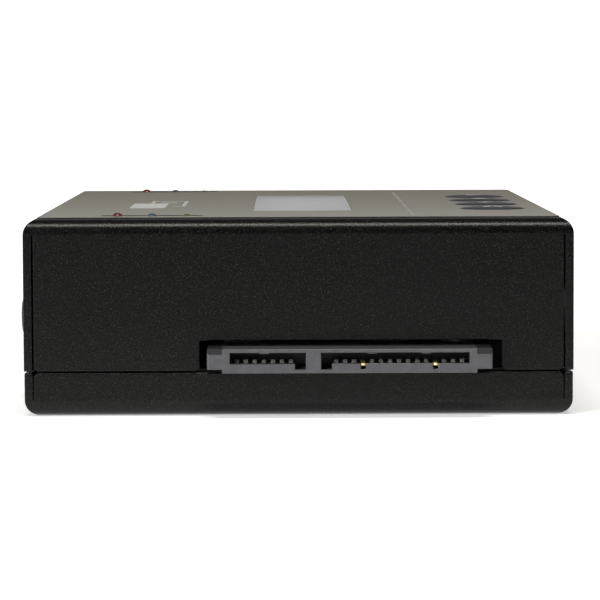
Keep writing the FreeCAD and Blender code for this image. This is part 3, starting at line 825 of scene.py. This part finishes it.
# all in millimetres
SIGN_FRONT = ((-25.6, -21.0), (-20.2, -21.0), (-20.2, -4.0), (-25.6, -4.0))
SIGN_BEHIND = ((-19.5, -14.0), (-17.6, -14.0), (-17.6, 4.5), (-22.8, 4.5), (-22.8, -2.8))
SIGN_TEXT_X = (-21.4, -19.0)
SIGN_TEXT_Y = (-1.0, 1.2)
SIGN_LINE = 0.55
RULE_X = 16.6
RULE_START = -47.0
RULE_LINE = 0.42
RULE_RING_Y = -45.0
RULE_RING_X = RULE_X + 2.4
RULE_RING_RADIUS = 1.2
RULE_RING_LINE = 0.35
TICK_X = (RULE_X + 0.9, RULE_X + 3.4)
TICK_LINE = 0.3
# length of each dash and the gap after it
RULE_DASHES = ((5.0, 2.0), (2.2, 3.0), (6.0, 2.6), (1.8, 3.4), (4.2, 2.0), (7.0, 3.6), (2.4, 2.2), (5.2, 3.0),
               (3.0, 2.4), (6.4, 3.2), (2.0, 2.6), (5.6, 2.2), (4.0, 2.0))


def flat_film(_x, _y):
    """Height of the film's top, the same all over."""
    return FILM_HIGH.z


def in_metres(points):
    """Points given in millimetres, in metres."""
    return [(x * MM, y * MM) for x, y in points]


def film_print():
    """Generic marks: a sign of two sheets for copying, faint dashes and a ring, and a tick for each key."""
    shape = bmesh.new()
    patch(shape, divided(in_metres(SIGN_FRONT)), flat_film)
    stroke(shape, in_metres(SIGN_BEHIND), SIGN_LINE * MM, flat_film)
    for y in SIGN_TEXT_Y:
        stroke(shape, in_metres([(x, y) for x in SIGN_TEXT_X]), SIGN_LINE * MM, flat_film)
    place_piece("film_sign", shape, "panel_film", material=MATERIALS["film_ink"])
    shape = bmesh.new()
    low_y = RULE_START
    for dash, gap in RULE_DASHES:
        stroke(shape, in_metres([(RULE_X, low_y), (RULE_X, low_y + dash)]), RULE_LINE * MM, flat_film)
        low_y += dash + gap
    for key in KEYS:
        key_low, key_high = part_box(key + "_key_cap")
        y = (key_low.y + key_high.y) / 2
        stroke(shape, [(x * MM, y) for x in TICK_X], TICK_LINE * MM, flat_film)
    ring = circle(RULE_RING_X * MM, RULE_RING_Y * MM, RULE_RING_RADIUS * MM, 20)
    stroke(shape, ring, RULE_RING_LINE * MM, flat_film, closed=True)
    place_piece("film_marks", shape, "panel_film", material=MATERIALS["film_faint_ink"])


enclosure()
for end in ("source", "target"):
    receptacle(end)
softened("power_inlet", INLET_EDGE, "inlet_housing")
window_pane()
for key in KEYS:
    key_piece(key)
for colour in ("red", "blue", "green"):
    lamp_domes(colour)
power_button()
inlet_pin()
case_screws()
film_print()


# ---------------------------------------------------------------- stage, light and camera

def world_light():
    """White to the camera and through glass, white low behind in reflections, and a dim studio elsewhere."""
    world = bpy.data.worlds.new("studio")
    world.use_nodes = True
    bpy.context.scene.world = world
    tree = world.node_tree
    tree.nodes.clear()
    out = tree.nodes.new("ShaderNodeOutputWorld")
    low_part = span(tree, coordinate(tree, "Z", "Generated"), 1.0, 0.0, 0.12, 0.42, "SMOOTHSTEP")
    rear_part = span(tree, coordinate(tree, "Y", "Generated"), 0.0, 1.0, 0.0, 0.6, "SMOOTHSTEP")
    sideways = calculated(tree, "ABSOLUTE", coordinate(tree, "X", "Generated"))
    light = tree.nodes.new("ShaderNodeBackground")
    tree.links.new(span(tree, sideways, 0.13, 0.5, 0.3, 0.85), light.inputs["Strength"])
    seen = tree.nodes.new("ShaderNodeBackground")
    seen.inputs["Strength"].default_value = 1.0
    seen.inputs["Color"].default_value = (1, 1, 1, 1)
    path = tree.nodes.new("ShaderNodeLightPath")
    backdrop = calculated(tree, "MULTIPLY", low_part, rear_part)
    white = calculated(tree, "MULTIPLY", path.outputs["Is Glossy Ray"], backdrop)
    for ray in ("Is Camera Ray", "Is Transmission Ray"):
        white = calculated(tree, "MAXIMUM", path.outputs[ray], white)
    mix = tree.nodes.new("ShaderNodeMixShader")
    tree.links.new(white, mix.inputs["Fac"])
    tree.links.new(light.outputs["Background"], mix.inputs[1])
    tree.links.new(seen.outputs["Background"], mix.inputs[2])
    tree.links.new(mix.outputs["Shader"], out.inputs["Surface"])


def floor_material():
    """White paint, clear from below, that glows more to the camera and less in reflections further out."""
    made = bpy.data.materials.new("floor_white")
    made.use_nodes = True
    tree = made.node_tree
    tree.nodes.clear()
    out = tree.nodes.new("ShaderNodeOutputMaterial")
    paint = tree.nodes.new("ShaderNodeBsdfDiffuse")
    paint.inputs["Color"].default_value = (0.82, 0.82, 0.82, 1)
    glow = tree.nodes.new("ShaderNodeEmission")
    glow.inputs["Color"].default_value = (1, 1, 1, 1)
    path = tree.nodes.new("ShaderNodeLightPath")
    place = tree.nodes.new("ShaderNodeTexCoord")
    distance = tree.nodes.new("ShaderNodeVectorMath")
    distance.operation = "LENGTH"
    tree.links.new(place.outputs["Object"], distance.inputs[0])
    reach = distance.outputs["Value"]
    seen = calculated(tree, "MULTIPLY", path.outputs["Is Camera Ray"], span(tree, reach, 0.45, 1.0, 0.1, 0.5))
    mirrored = calculated(tree, "MAXIMUM", path.outputs["Is Glossy Ray"], path.outputs["Is Transmission Ray"])
    strength = calculated(tree, "MULTIPLY_ADD", mirrored, span(tree, reach, 0.8, 0.15, 0.07, 0.28), seen)
    tree.links.new(strength, glow.inputs["Strength"])
    both = tree.nodes.new("ShaderNodeAddShader")
    tree.links.new(paint.outputs["BSDF"], both.inputs[0])
    tree.links.new(glow.outputs["Emission"], both.inputs[1])
    clear = tree.nodes.new("ShaderNodeBsdfTransparent")
    side = tree.nodes.new("ShaderNodeNewGeometry")
    mix = tree.nodes.new("ShaderNodeMixShader")
    tree.links.new(side.outputs["Backfacing"], mix.inputs["Fac"])
    tree.links.new(both.outputs["Shader"], mix.inputs[1])
    tree.links.new(clear.outputs["BSDF"], mix.inputs[2])
    tree.links.new(mix.outputs["Shader"], out.inputs["Surface"])
    return made


FLOOR_RADIUS = 4.0
FLOOR_BELOW = 0.03 * MM


def studio_floor():
    """Plain white floor that keeps the shadow."""
    mesh = bpy.data.meshes.new("studio_floor")
    shape = bmesh.new()
    bmesh.ops.create_circle(shape, cap_ends=True, radius=FLOOR_RADIUS, segments=96)
    shape.to_mesh(mesh)
    shape.free()
    floor = bpy.data.objects.new("studio_floor", mesh)
    floor.location = (0, 0, -FLOOR_BELOW)
    bpy.context.scene.collection.objects.link(floor)
    mesh.materials.append(floor_material())


def area_lamp(name, place, target, size, power, spread=180.0, colour=(1.0, 1.0, 1.0)):
    """Rectangular lamp at a place, facing a target; lengths in metres, spread in degrees."""
    data = bpy.data.lights.new(name, "AREA")
    data.shape = "RECTANGLE"
    data.size, data.size_y = size
    data.energy = power
    data.spread = math.radians(spread)
    data.color = colour
    lamp = bpy.data.objects.new(name, data)
    lamp.location = place
    aim = Vector(target) - Vector(place)
    lamp.rotation_mode = "QUATERNION"
    lamp.rotation_quaternion = aim.to_track_quat("-Z", "Y")
    bpy.context.scene.collection.objects.link(lamp)


CAMERA_PLACE = Vector((-1.56, -482.67, 47.82)) * MM
CAMERA_TURN = (4.180, -0.2, 0.243)
CAMERA_SENSOR = 36.0
CAMERA_LENS = 182.16


def camera():
    """Camera at the photograph's viewing angle; its turn is a rotation vector in degrees."""
    turn = Vector(math.radians(angle) for angle in CAMERA_TURN)
    to_camera = Matrix.Rotation(turn.length, 3, turn.normalized())
    right = to_camera.transposed() @ Vector((1, 0, 0))
    up = to_camera.transposed() @ Vector((0, 0, 1))
    forward = to_camera.transposed() @ Vector((0, 1, 0))
    axes = Matrix((right, up, -forward)).transposed()
    data = bpy.data.cameras.new("camera")
    data.sensor_width = CAMERA_SENSOR
    data.lens = CAMERA_LENS
    data.clip_start = 0.01
    data.clip_end = 20.0
    cam = bpy.data.objects.new("camera", data)
    cam.matrix_world = Matrix.Translation(CAMERA_PLACE) @ axes.to_4x4()
    bpy.context.scene.collection.objects.link(cam)
    bpy.context.scene.camera = cam


world_light()
studio_floor()
area_lamp("overhead_softbox", (0.0, -0.31, 0.9), (0, -0.02, 0.02), (0.42, 0.14), 5.2,
          colour=(1.0, 0.965, 0.885))
area_lamp("front_softbox", (-0.95, -1.05, 0.5), (0, 0, 0.015), (0.9, 0.8), 4.0, spread=90.0)
camera()
bpy.context.scene.view_settings.view_transform = "Standard"
